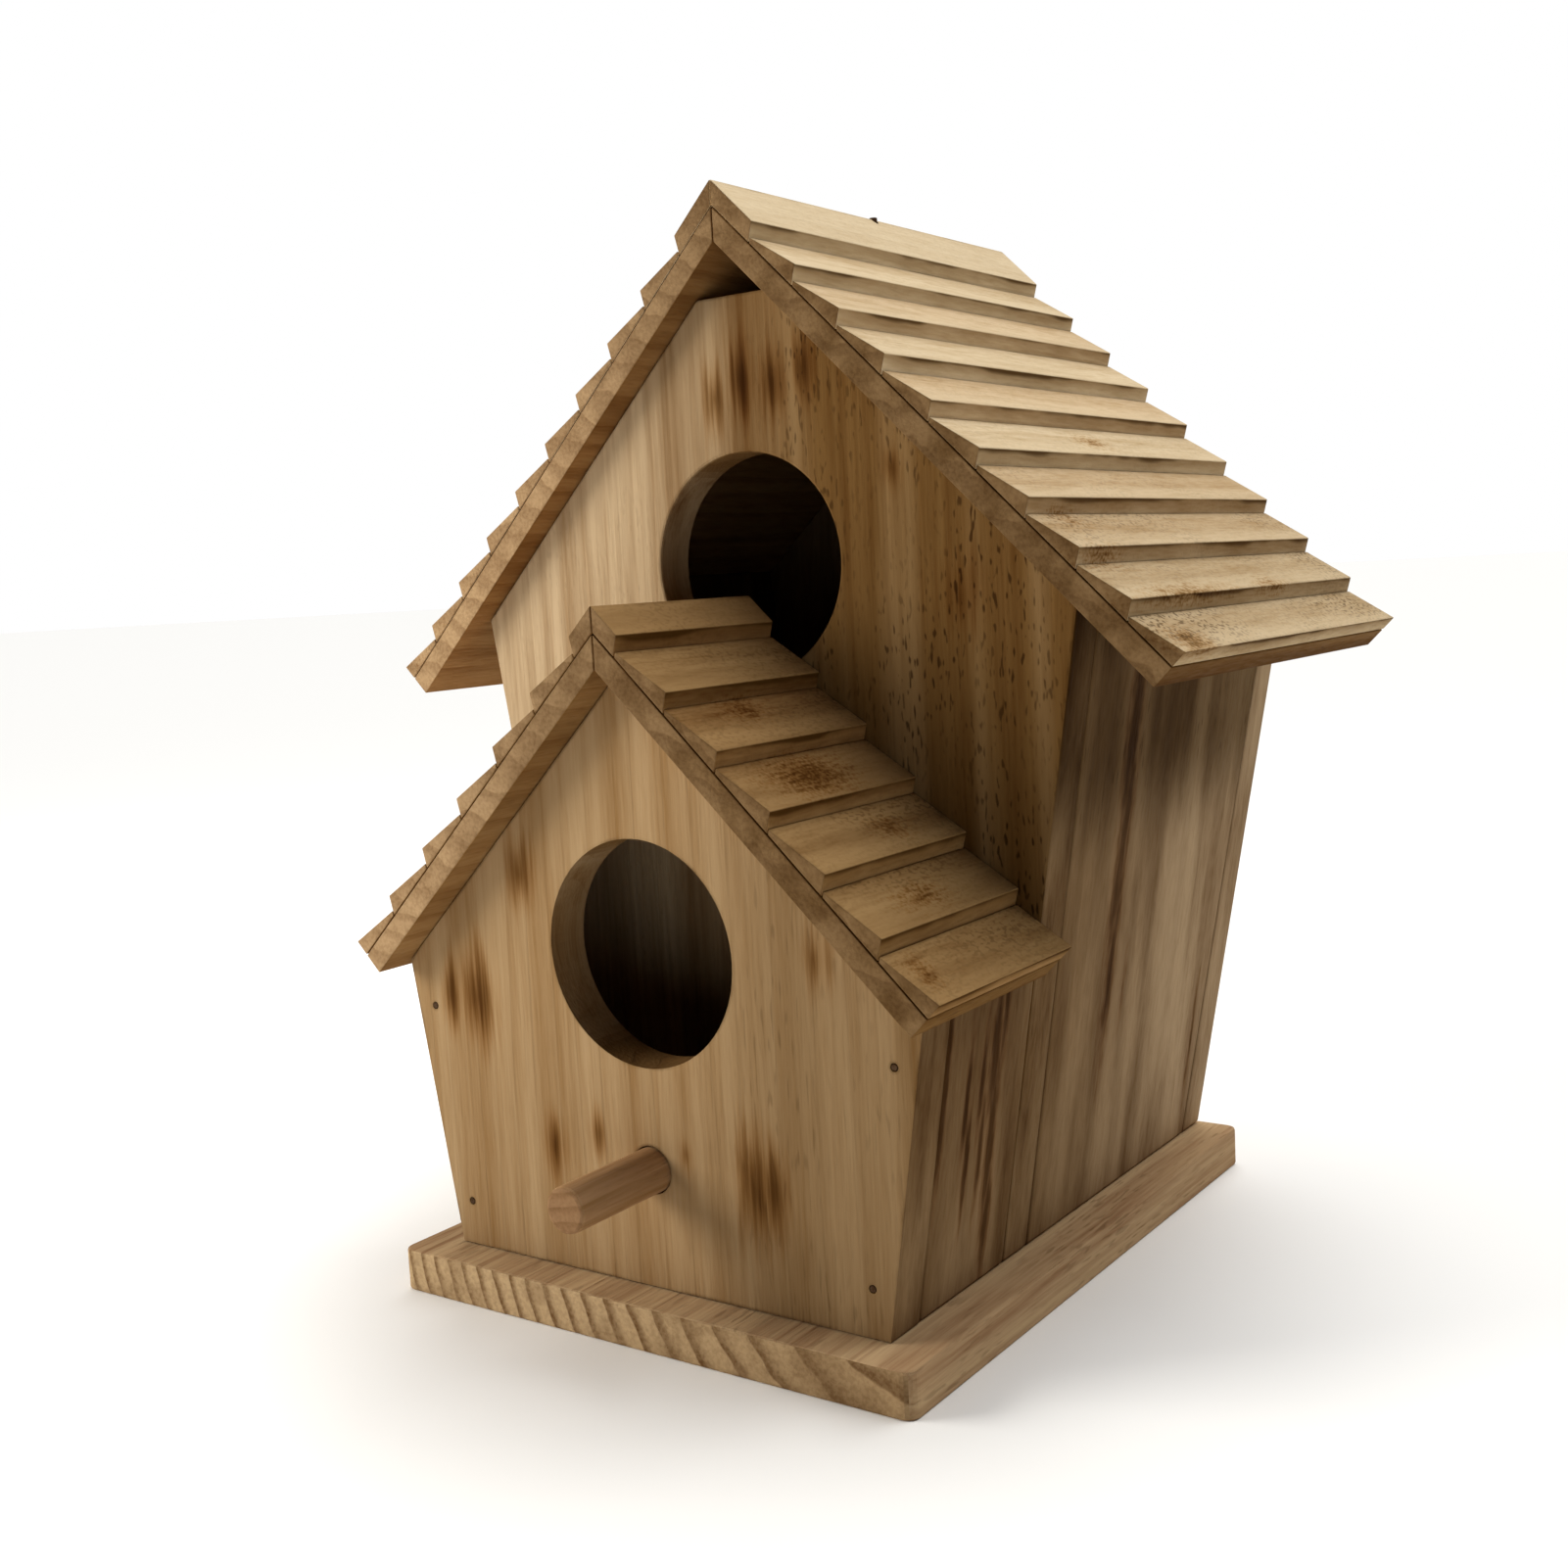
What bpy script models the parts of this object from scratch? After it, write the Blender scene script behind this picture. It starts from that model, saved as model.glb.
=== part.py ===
"""Two-storey wooden birdhouse with lapped slat roofs, built as one object per wooden or steel piece."""
import math
from collections import namedtuple

import bmesh
import bpy
from mathutils import Vector

# Fits
FIT_GAP = 0.0003
CUT_MARGIN = 0.002

# House outline: the side walls flare outward and the back leans backward, both per unit of height
HOUSE_WIDTH = 0.120
HOUSE_DEPTH = 0.1605
PANEL_THICKNESS = 0.011
UPPER_FRONT_SETBACK = 0.0476
WALL_FLARE_SHARE = 0.161
BACK_LEAN_SHARE = 0.075

# Base board, with a ledge round the house
BASE_THICKNESS = 0.010
BASE_CORNER_RADIUS = 0.003
BASE_FRONT_LEDGE = 0.010
BASE_SIDE_LEDGE = 0.0108
BASE_REAR_LEDGE = 0.0015

# Roof section: a backing board with feather-edged slats lying on it
ROOF_THICKNESS = 0.0097
SLAT_BUTT_THICKNESS = 0.0040
SLAT_STEP = 0.0030
BUTT_LEAN_SHARE = 0.57

# Upper roof
UPPER_RIDGE_HEIGHT = 0.2533
UPPER_PITCH_SHARE = 0.985
UPPER_SLAT_COUNT = 10
UPPER_RIDGE_SLAT_SHARE = 1.0
UPPER_EAVE_OVERHANG = 0.0257
UPPER_FRONT_OVERHANG = 0.0066
UPPER_REAR_OVERHANG = 0.0005

# Lower roof
LOWER_RIDGE_HEIGHT = 0.1605
LOWER_PITCH_SHARE = 0.965
LOWER_SLAT_COUNT = 7
LOWER_RIDGE_SLAT_SHARE = 0.537
LOWER_EAVE_OVERHANG = 0.0088
LOWER_FRONT_OVERHANG = 0.0084

# Openings, the holes placed by how far their centres are below the ridge
LOWER_HOLE_RADIUS = 0.0252
LOWER_HOLE_DROP = 0.0754
UPPER_HOLE_RADIUS = 0.0257
UPPER_HOLE_DROP = 0.0858
VENT_HEIGHT = 0.0105

# Perch, placed by its share of the height between the base and the lower hole
PERCH_RADIUS = 0.0051
PERCH_REACH = 0.0284
PERCH_HEIGHT_SHARE = 0.541

# Nails through the lower front panel into the front edges of the lower walls
NAIL_LENGTH = 0.026
NAIL_RADIUS = 0.0005
NAIL_HEAD_RADIUS = 0.0007
NAIL_HEAD_THICKNESS = 0.0006
NAIL_GAP = 0.0002
NAIL_INSET = 0.0105

# Steel pin in the middle of the ridge
PIN_RADIUS = 0.0010
PIN_LENGTH = 0.012
PIN_PROUD = 0.0003

# Softened edges
BOARD_EDGE_RADIUS = 0.0006
SLAT_EDGE_RADIUS = 0.0002
STEEL_EDGE_RADIUS = 0.0001
PERCH_EDGE_RADIUS = 0.0008
EDGE_ANGLE = math.radians(30)
EDGE_SEGMENTS = 2
CORNER_SEGMENTS = 5
HOLE_SEGMENTS = 72
DOWEL_SEGMENTS = 40
STEEL_SEGMENTS = 20

# Sizes and planes that several pieces share
BASE_WIDTH = HOUSE_WIDTH + 2 * BASE_SIDE_LEDGE
BASE_DEPTH = BASE_FRONT_LEDGE + HOUSE_DEPTH + BASE_REAR_LEDGE
LOWER_FRONT = BASE_FRONT_LEDGE - BASE_DEPTH / 2
UPPER_FRONT = LOWER_FRONT + UPPER_FRONT_SETBACK
BACK_REAR = LOWER_FRONT + HOUSE_DEPTH
FLOOR_TOP = BASE_THICKNESS + FIT_GAP
BOARD_DEPTH = SLAT_BUTT_THICKNESS + FIT_GAP
LOWER_HOLE_HEIGHT = LOWER_RIDGE_HEIGHT - LOWER_HOLE_DROP
UPPER_HOLE_HEIGHT = UPPER_RIDGE_HEIGHT - UPPER_HOLE_DROP
PERCH_HEIGHT = BASE_THICKNESS + PERCH_HEIGHT_SHARE * (LOWER_HOLE_HEIGHT - LOWER_HOLE_RADIUS - BASE_THICKNESS)
UPPER_ROOF_REAR = BACK_REAR + BACK_LEAN_SHARE * (UPPER_RIDGE_HEIGHT - ROOF_THICKNESS - BASE_THICKNESS)

Roof = namedtuple("Roof", "name ridge pitch count ridge_share overhang front rear")
UPPER_ROOF = Roof(
    "upper_roof", UPPER_RIDGE_HEIGHT, math.atan(UPPER_PITCH_SHARE), UPPER_SLAT_COUNT,
    UPPER_RIDGE_SLAT_SHARE, UPPER_EAVE_OVERHANG, UPPER_FRONT - UPPER_FRONT_OVERHANG,
    UPPER_ROOF_REAR + UPPER_REAR_OVERHANG,
)
LOWER_ROOF = Roof(
    "lower_roof", LOWER_RIDGE_HEIGHT, math.atan(LOWER_PITCH_SHARE), LOWER_SLAT_COUNT,
    LOWER_RIDGE_SLAT_SHARE, LOWER_EAVE_OVERHANG, LOWER_FRONT - LOWER_FRONT_OVERHANG,
    UPPER_FRONT - FIT_GAP,
)

# Colour and roughness of each kind of piece
BASE_LOOK = ((0.52, 0.34, 0.19, 1), 0.70)
PANEL_LOOK = ((0.45, 0.29, 0.16, 1), 0.65)
WALL_LOOK = ((0.36, 0.22, 0.12, 1), 0.65)
BOARD_LOOK = ((0.38, 0.24, 0.14, 1), 0.70)
SLAT_LOOK = ((0.58, 0.41, 0.25, 1), 0.70)
PERCH_LOOK = ((0.60, 0.43, 0.27, 1), 0.60)
STEEL_LOOK = ((0.20, 0.18, 0.17, 1), 0.45)


def clear_scene():
    """Remove whatever the scene holds before building."""
    for old in list(bpy.data.objects):
        bpy.data.objects.remove(old, do_unlink=True)


def new_material(name, look, metallic=0):
    """Return a Principled material of one piece."""
    colour, roughness = look
    material = bpy.data.materials.new(name + "_material")
    material.use_nodes = True
    shader = material.node_tree.nodes["Principled BSDF"]
    shader.inputs["Base Color"].default_value = colour
    shader.inputs["Roughness"].default_value = roughness
    shader.inputs["Metallic"].default_value = metallic
    material.diffuse_color = colour
    return material


def add_object(name, bm, location, parent=None):
    """Turn a bmesh into a linked object at a location and free the bmesh."""
    bmesh.ops.recalc_face_normals(bm, faces=bm.faces)
    mesh = bpy.data.meshes.new(name)
    bm.to_mesh(mesh)
    bm.free()
    piece = bpy.data.objects.new(name, mesh)
    bpy.context.scene.collection.objects.link(piece)
    piece.location = location
    if parent is not None:
        piece.parent = parent
        piece.location = Vector(location) - parent.location
    return piece


def add_prism(name, outline, front, rear, parent=None):
    """Build a board from an outline in X and Z; front and rear give its Y for each height."""
    corners = [Vector((x, front(z), z)) for x, z in outline]
    corners += [Vector((x, rear(z), z)) for x, z in outline]
    low = Vector([min(corner[axis] for corner in corners) for axis in range(3)])
    high = Vector([max(corner[axis] for corner in corners) for axis in range(3)])
    centre = (low + high) / 2
    bm = bmesh.new()
    verts = [bm.verts.new(corner - centre) for corner in corners]
    count = len(outline)
    bm.faces.new(verts[:count])
    bm.faces.new(verts[count:])
    for index in range(count):
        after = (index + 1) % count
        bm.faces.new((verts[index], verts[after], verts[count + after], verts[count + index]))
    return add_object(name, bm, centre, parent)


def add_turned(name, profile, segments, place, toward, parent=None):
    """Turn a profile of (radius, distance) about an axis that runs from place in the direction toward."""
    turn = Vector((0, 0, 1)).rotation_difference(toward).to_matrix()
    bm = bmesh.new()
    rings = []
    for radius, distance in profile:
        ring = []
        for index in range(segments):
            angle = 2 * math.pi * index / segments
            point = Vector((radius * math.cos(angle), radius * math.sin(angle), distance))
            ring.append(bm.verts.new(turn @ point))
        rings.append(ring)
    bm.faces.new(rings[0])
    bm.faces.new(rings[-1])
    for near, far in zip(rings, rings[1:]):
        for index in range(segments):
            after = (index + 1) % segments
            bm.faces.new((near[index], near[after], far[after], far[index]))
    return add_object(name, bm, place, parent)


def finish_piece(piece, look, edge_radius, metallic=0):
    """Give a piece its material and softened edges."""
    piece.data.materials.append(new_material(piece.name, look, metallic))
    bevel = piece.modifiers.new("softened_edges", "BEVEL")
    bevel.width = edge_radius
    bevel.segments = EDGE_SEGMENTS
    bevel.limit_method = "ANGLE"
    bevel.angle_limit = EDGE_ANGLE


def cut(piece, cutter):
    """Cut one object out of a piece with a live Boolean."""
    cutter.hide_render = True
    cutter.display_type = "WIRE"
    boolean = piece.modifiers.new(cutter.name, "BOOLEAN")
    boolean.operation = "DIFFERENCE"
    boolean.solver = "EXACT"
    boolean.object = cutter


def level(distance):
    """Return an upright plane that has the same Y at every height."""
    return lambda height: distance


def leaning(distance):
    """Return a plane parallel to the back panel that passes the base top at the given Y."""
    return lambda height: distance + BACK_LEAN_SHARE * (height - BASE_THICKNESS)


def wall_face(height):
    """Return the outer X of the right wall at a height."""
    return HOUSE_WIDTH / 2 + WALL_FLARE_SHARE * (height - BASE_THICKNESS)


def ceiling_peak(roof):
    """Return the height at the middle of what fits under a roof."""
    return roof.ridge - (ROOF_THICKNESS + FIT_GAP) / math.cos(roof.pitch)


def wall_top(roof, inset):
    """Return where the right wall's face, moved in by inset, meets the roof's underside."""
    slope = math.tan(roof.pitch)
    foot = HOUSE_WIDTH / 2 - inset - WALL_FLARE_SHARE * BASE_THICKNESS
    height = (ceiling_peak(roof) - slope * foot) / (1 + slope * WALL_FLARE_SHARE)
    return wall_face(height) - inset, height


def mirrored(side, outline):
    """Return the outline on the right side, or its mirror image on the left side."""
    return [(side * x, z) for x, z in outline]


def gable_outline(roof, vent=0):
    """Return the outline of a panel that closes the house below a roof, cut flat by vent at the peak."""
    foot = (wall_face(FLOOR_TOP), FLOOR_TOP)
    right = [foot, wall_top(roof, 0)]
    peak = ceiling_peak(roof)
    if vent:
        right.append((vent / math.tan(roof.pitch), peak - vent))
        middle = []
    else:
        middle = [(0, peak)]
    left = [(-x, z) for x, z in reversed(right)]
    return right + middle + left


def wall_outline(roof):
    """Return the section of the right wall from the base to a roof."""
    foot = wall_face(FLOOR_TOP)
    return [
        (foot - PANEL_THICKNESS, FLOOR_TOP), (foot, FLOOR_TOP),
        wall_top(roof, 0), wall_top(roof, PANEL_THICKNESS),
    ]


def roof_point(roof, distance, depth):
    """Return X and Z of a point at a distance down the slope and a depth below the slat tips."""
    across = distance * math.cos(roof.pitch) - depth * math.sin(roof.pitch)
    height = roof.ridge - distance * math.sin(roof.pitch) - depth * math.cos(roof.pitch)
    return across, height


def mitre_point(roof, depth):
    """Return the point of a depth at the middle joint of the roof."""
    distance = (FIT_GAP / 2 + depth * math.sin(roof.pitch)) / math.cos(roof.pitch)
    return roof_point(roof, distance, depth)


def add_base():
    """Build the base board with its upright corners rounded."""
    half_width = BASE_WIDTH / 2
    half_depth = BASE_DEPTH / 2
    half_thickness = BASE_THICKNESS / 2
    bm = bmesh.new()
    ring = []
    for quarter, (side, end) in enumerate(((1, 1), (-1, 1), (-1, -1), (1, -1))):
        centre_x = side * (half_width - BASE_CORNER_RADIUS)
        centre_y = end * (half_depth - BASE_CORNER_RADIUS)
        for step in range(CORNER_SEGMENTS + 1):
            angle = math.pi / 2 * (quarter + step / CORNER_SEGMENTS)
            ring.append((
                centre_x + BASE_CORNER_RADIUS * math.cos(angle),
                centre_y + BASE_CORNER_RADIUS * math.sin(angle),
            ))
    lower = [bm.verts.new((x, y, -half_thickness)) for x, y in ring]
    upper = [bm.verts.new((x, y, half_thickness)) for x, y in ring]
    bm.faces.new(lower)
    bm.faces.new(upper)
    for index in range(len(ring)):
        after = (index + 1) % len(ring)
        bm.faces.new((lower[index], lower[after], upper[after], upper[index]))
    base = add_object("base_board", bm, Vector((0, 0, half_thickness)))
    finish_piece(base, BASE_LOOK, BOARD_EDGE_RADIUS)
    return base


def add_hole_cutter(name, radius, height, face, base):
    """Build the cutter of a round hole through a panel whose front face is at face."""
    length = PANEL_THICKNESS + 2 * CUT_MARGIN
    profile = [(radius, 0), (radius, length)]
    place = Vector((0, face - CUT_MARGIN, height))
    return add_turned(name, profile, HOLE_SEGMENTS, place, Vector((0, 1, 0)), base)


def add_nails(base):
    """Build the nails of the lower front panel and return their cutters by side."""
    cutters = {1: [], -1: []}
    shank = NAIL_HEAD_THICKNESS + NAIL_GAP
    head_room = NAIL_HEAD_RADIUS + NAIL_GAP
    shank_room = NAIL_RADIUS + NAIL_GAP
    profile = [
        (NAIL_HEAD_RADIUS, 0), (NAIL_HEAD_RADIUS, NAIL_HEAD_THICKNESS),
        (NAIL_RADIUS, NAIL_HEAD_THICKNESS), (NAIL_RADIUS, NAIL_LENGTH),
    ]
    bore = [
        (head_room, -CUT_MARGIN), (head_room, shank), (shank_room, shank),
        (shank_room, NAIL_LENGTH + NAIL_GAP),
    ]
    heights = (FLOOR_TOP + NAIL_INSET, wall_top(LOWER_ROOF, 0)[1] - NAIL_INSET)
    for side, word in ((-1, "left"), (1, "right")):
        for number, height in enumerate(heights, 1):
            across = side * (wall_face(height) - PANEL_THICKNESS / 2)
            place = Vector((across, LOWER_FRONT, height))
            name = "%s_nail_%02d" % (word, number)
            nail = add_turned(name, profile, STEEL_SEGMENTS, place, Vector((0, 1, 0)), base)
            finish_piece(nail, STEEL_LOOK, STEEL_EDGE_RADIUS, metallic=1)
            cutter = add_turned(
                name + "_bore", bore, STEEL_SEGMENTS, place, Vector((0, 1, 0)), base
            )
            cutters[side].append(cutter)
    return cutters


def add_lower_storey(base):
    """Build the lower front panel, the two short walls behind it, the perch and the nails."""
    cutters = add_nails(base)
    panel = add_prism(
        "lower_front_panel", gable_outline(LOWER_ROOF), level(LOWER_FRONT),
        level(LOWER_FRONT + PANEL_THICKNESS), base
    )
    cut(panel, add_hole_cutter("lower_hole", LOWER_HOLE_RADIUS, LOWER_HOLE_HEIGHT, LOWER_FRONT, base))
    perch_room = PERCH_RADIUS + FIT_GAP
    cut(panel, add_hole_cutter("perch_hole", perch_room, PERCH_HEIGHT, LOWER_FRONT, base))
    for side in (-1, 1):
        for cutter in cutters[side]:
            cut(panel, cutter)
    finish_piece(panel, PANEL_LOOK, BOARD_EDGE_RADIUS)
    for side, word in ((-1, "left"), (1, "right")):
        wall = add_prism(
            "lower_%s_wall" % word, mirrored(side, wall_outline(LOWER_ROOF)),
            level(LOWER_FRONT + PANEL_THICKNESS + FIT_GAP), level(UPPER_FRONT - FIT_GAP), base
        )
        for cutter in cutters[side]:
            cut(wall, cutter)
        finish_piece(wall, WALL_LOOK, BOARD_EDGE_RADIUS)
    length = PERCH_REACH + PANEL_THICKNESS
    profile = [(PERCH_RADIUS, 0), (PERCH_RADIUS, length)]
    place = Vector((0, LOWER_FRONT - PERCH_REACH, PERCH_HEIGHT))
    perch = add_turned("perch_dowel", profile, DOWEL_SEGMENTS, place, Vector((0, 1, 0)), base)
    finish_piece(perch, PERCH_LOOK, PERCH_EDGE_RADIUS)


def add_upper_storey(base):
    """Build the tall front panel, the two tall walls and the leaning back panel."""
    panel = add_prism(
        "upper_front_panel", gable_outline(UPPER_ROOF, VENT_HEIGHT), level(UPPER_FRONT),
        level(UPPER_FRONT + PANEL_THICKNESS), base
    )
    cut(panel, add_hole_cutter("upper_hole", UPPER_HOLE_RADIUS, UPPER_HOLE_HEIGHT, UPPER_FRONT, base))
    finish_piece(panel, PANEL_LOOK, BOARD_EDGE_RADIUS)
    back_front = BACK_REAR - PANEL_THICKNESS
    for side, word in ((-1, "left"), (1, "right")):
        wall = add_prism(
            "upper_%s_wall" % word, mirrored(side, wall_outline(UPPER_ROOF)),
            level(UPPER_FRONT + PANEL_THICKNESS + FIT_GAP), leaning(back_front - FIT_GAP), base
        )
        finish_piece(wall, WALL_LOOK, BOARD_EDGE_RADIUS)
    back = add_prism(
        "back_panel", gable_outline(UPPER_ROOF), leaning(back_front), leaning(BACK_REAR), base
    )
    finish_piece(back, WALL_LOOK, BOARD_EDGE_RADIUS)


def slat_exposure(roof):
    """Return the width of slope that each slat shows; the ridge slat shows its share of it."""
    slope_length = (wall_top(roof, 0)[0] + roof.overhang) / math.cos(roof.pitch)
    return slope_length / (roof.count - 1 + roof.ridge_share)


def slat_tip(roof, number):
    """Return how far down the slope the lower edge of a slat lies; number 1 is at the ridge."""
    return slat_exposure(roof) * (number - 1 + roof.ridge_share)


def slat_outline(roof, number):
    """Return the section of one slat on the right slope."""
    tip = slat_tip(roof, number)
    last = number == roof.count
    butt_lean = 0 if last else BUTT_LEAN_SHARE * SLAT_BUTT_THICKNESS
    lower_edge = [
        roof_point(roof, tip + butt_lean, SLAT_BUTT_THICKNESS), roof_point(roof, tip, 0),
    ]
    if number == 1:
        return lower_edge + [mitre_point(roof, 0), mitre_point(roof, SLAT_BUTT_THICKNESS)]
    above = slat_tip(roof, number - 1) + FIT_GAP
    return lower_edge + [
        roof_point(roof, above + BUTT_LEAN_SHARE * SLAT_STEP, SLAT_STEP),
        roof_point(roof, above + BUTT_LEAN_SHARE * SLAT_BUTT_THICKNESS, SLAT_BUTT_THICKNESS),
    ]


def board_outline(roof):
    """Return the section of the backing board on the right slope."""
    end = slat_tip(roof, roof.count)
    return [
        mitre_point(roof, BOARD_DEPTH), mitre_point(roof, ROOF_THICKNESS),
        roof_point(roof, end, ROOF_THICKNESS), roof_point(roof, end, BOARD_DEPTH),
    ]


def add_roof(roof, base):
    """Build both slopes of a roof and return the pieces that meet at its ridge."""
    ridge_pieces = []
    for side, word in ((-1, "left"), (1, "right")):
        board = add_prism(
            "%s_%s_board" % (roof.name, word), mirrored(side, board_outline(roof)),
            level(roof.front), level(roof.rear), base
        )
        finish_piece(board, BOARD_LOOK, SLAT_EDGE_RADIUS)
        ridge_pieces.append(board)
        for number in range(1, roof.count + 1):
            slat = add_prism(
                "%s_%s_slat_%02d" % (roof.name, word, number),
                mirrored(side, slat_outline(roof, number)), level(roof.front), level(roof.rear), base
            )
            finish_piece(slat, SLAT_LOOK, SLAT_EDGE_RADIUS)
            if number == 1:
                ridge_pieces.append(slat)
    return ridge_pieces


def add_ridge_pin(ridge_pieces, base):
    """Set the steel pin in the middle of the ridge, in a bore shared by the pieces that meet there."""
    middle = (UPPER_ROOF.front + UPPER_ROOF.rear) / 2
    place = Vector((0, middle, UPPER_ROOF.ridge + PIN_PROUD))
    down = Vector((0, 0, -1))
    pin = add_turned(
        "ridge_pin", [(PIN_RADIUS, 0), (PIN_RADIUS, PIN_LENGTH)], STEEL_SEGMENTS, place, down, base
    )
    finish_piece(pin, STEEL_LOOK, STEEL_EDGE_RADIUS, metallic=1)
    room = PIN_RADIUS + FIT_GAP
    bore = [(room, -CUT_MARGIN), (room, PIN_LENGTH + 2 * CUT_MARGIN + ROOF_THICKNESS)]
    cutter = add_turned("ridge_pin_bore", bore, STEEL_SEGMENTS, place, down, base)
    for piece in ridge_pieces:
        cut(piece, cutter)


def build():
    """Build every piece of the birdhouse."""
    clear_scene()
    base = add_base()
    add_lower_storey(base)
    add_upper_storey(base)
    add_roof(LOWER_ROOF, base)
    add_ridge_pin(add_roof(UPPER_ROOF, base), base)


build()
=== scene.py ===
"""Finish and studio for a two-storey wooden birdhouse, laid out as a Blender add-on."""
import math
from collections import namedtuple
from dataclasses import dataclass
from functools import partial

import bmesh
import bpy
from bpy.props import FloatProperty, FloatVectorProperty, PointerProperty
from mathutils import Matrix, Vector


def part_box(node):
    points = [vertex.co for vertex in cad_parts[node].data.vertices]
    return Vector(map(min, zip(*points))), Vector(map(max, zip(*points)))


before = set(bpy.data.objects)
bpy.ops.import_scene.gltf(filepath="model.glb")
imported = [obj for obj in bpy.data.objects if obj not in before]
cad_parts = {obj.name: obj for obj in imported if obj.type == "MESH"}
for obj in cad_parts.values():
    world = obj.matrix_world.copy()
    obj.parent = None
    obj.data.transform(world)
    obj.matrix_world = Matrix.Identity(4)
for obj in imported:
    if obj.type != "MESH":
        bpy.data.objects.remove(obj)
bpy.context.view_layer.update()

bl_info = {
    "name": "Wooden Birdhouse",
    "version": (1, 0, 0),
    "blender": (4, 5, 0),
    "location": "3D Viewport > Sidebar > Birdhouse",
    "description": "Gives a wooden birdhouse its torched wood finish and a plain studio",
    "category": "Object",
}

MM = 0.001
ACROSS_X, ACROSS_Y, UP_Z = range(3)

# How a board's grain lies: the turn that brings it upright, and the direction of its fibres.
Grain = namedtuple("Grain", "turn fibres")
UPRIGHT = Grain((0, 0, 0), (0, 0, 1))
FRONT_TO_BACK = Grain((math.radians(90), 0, 0), (0, 1, 0))
# Growth rings in millimetres: where the pith lies and the ring spacing at two distances from it,
# the share of a ring before its late wood, and how far the rings wander.
Rings = namedtuple(
    "Rings", "pith near_radius near_spacing far_radius far_spacing early wander", defaults=(0.35, 8))
# Small dark pores: their width and length in millimetres, how sparse they are and how dark,
# and how much of its browning a board has where they begin.
Pores = namedtuple("Pores", "width length sparse share begin", defaults=(0.0,))
# A torch mark on a face, in millimetres: its place across and up the face, its half size and strength.
Mark = namedtuple("Mark", "across height half_width half_height strength")
# A board that takes a browner tint from one place to another, in millimetres along one axis: on some boards
# browner wood, on others painted shade and painted light.
Browning = namedtuple("Browning", "axis start end share tint", defaults=("heartwood",))
# A stepped slope: its upward direction, and how high above the origin its step edges lie.
Slope = namedtuple("Slope", "upward lip")
# What a wood's colours are mixed from. On a piece: its places in millimetres, the same along its
# trunk, the way its faces look, its own random number, and which faces are butts or sawn ends.
# In the trunk: fibres, coarse streaks, bands, late wood, and the specks and mottling of its ends.
Patterns = namedtuple(
    "Patterns", "place along normal chance butt sawn fibre coarse bands late speck mottle")

# How high the middles of the two entry holes lie, in millimetres.
LOWER_HOLE, UPPER_HOLE = 85.1, 167.5
# Farther from the middle than a hole's rim and nearer than a panel's side, in millimetres.
PANEL_SIDE = 45.0, 55.0
# Where a face that looks inward begins to be darkened with painted shade and where it is fully so,
# in millimetres from the middle.
INWARD_FACE = -3.0, -9.0
# The walls carry painted shade under the upper eaves, and are browner toward the front.
WALL_BROWNINGS = (Browning(UP_Z, 92, 122, 0.9, "smoke_and_shade"), Browning(ACROSS_Y, 80, -20, 0.74))

# Sizes of the wood's patterns in millimetres, those in pairs across the grain and along it.
# The open pores of real sawn ends are finer, and their specks are as coarse as it takes to show.
TRUNK_BEND = 26, 170
PORE_PATCH = 20.0, 45.0
LIP_WEAR = 12.0, 30.0
COARSE_WIDTH, BAND_LENGTH = 2.4, 400.0
END_SPECK, END_MOTTLE = 0.9, 9
SCORCHED_STRETCH = 14
RELIEF_DEPTH = 0.3
# How far apart in their trunk two slats may have been cut along the grain, in millimetres.
CUT_APART = 9000
# A torch mark is as deep as this on both sides of the middle, and a distance to it is cut off
# at this many of its half sizes.
MARK_DEPTH, FAR_OFF = 1000, 9.0
# The shares of a ring's width between which its late wood is darkest.
LATE_FULL, LATE_END = 0.90, 0.93
# How much less and how much more than its share a browning tints, from place to place.
UNEVEN = 0.85, 1.1
# Nearly all values of a noise lie between these.
NOISE_RANGE = 0.3, 0.7
# Cosines between two directions: a face and the fibres, from long grain to a sawn end and from an
# end to a face that may be a butt; a face and the upward slope, from a slat's tread to its butt;
# and a face and its rounded arris.
SAWN_TURN = 0.75, 0.92
SIDE_TURN = 0.75, 0.5
BUTT_TURN = 0.80, 0.60
ARRIS_TURN = 0.99, 0.80

# The sockets of a Mix node for the colour under, the colour over it and their mix, and the
# settings of nodes that cover a colour, tint it, or turn one range softly into another.
UNDER, OVER, MIXED = 6, 7, 2
COVER = {"output": MIXED, "data_type": "RGBA"}
TINT = {**COVER, "blend_type": "MULTIPLY"}
SOFT = {"interpolation_type": "SMOOTHSTEP"}

# The studio in metres, and a sensor in millimetres.
FLOOR_RADIUS = 20
KEY_AIM = Vector((0, 0, 0.12))
SKY_DIRECTION = Vector((-0.1, -0.45, -0.88))
NEAREST_SEEN = 0.01
SENSOR_WIDTH = 36


@dataclass
class Wood:
    """What sets one wood apart: lengths are in millimetres, and shares run from none to all."""

    name: str
    grain: Grain
    rings: Rings
    pale: tuple
    dark: tuple
    ring_share: float = 0.4
    end_ring_share: float = 0.3
    band_share: float = 0.4
    band_width: float = 8.0
    fibre_share: float = 0.24
    fibre_length: float = 16.0
    pores: Pores = Pores(0.8, 5.0, 0.6, 0.3)
    # How far apart in the trunk its pieces were cut, so that each has its own grain
    spread: float = 0.0
    marks: tuple = ()
    mark_axis: int = ACROSS_X
    mark_tints: tuple = ("halo", "scorch")
    # How ragged the marks are, in half sizes, and how strongly the arrises are burnt
    fray: float = 0.35
    scorch: float = 0.75
    brownings: tuple = ()
    end_browning: Browning = None
    end_pale: tuple = None
    # Only on a front panel: how high its entry hole lies
    hole: float = 0
    # Only on slats: the slope that they make
    slope: Slope = None


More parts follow.
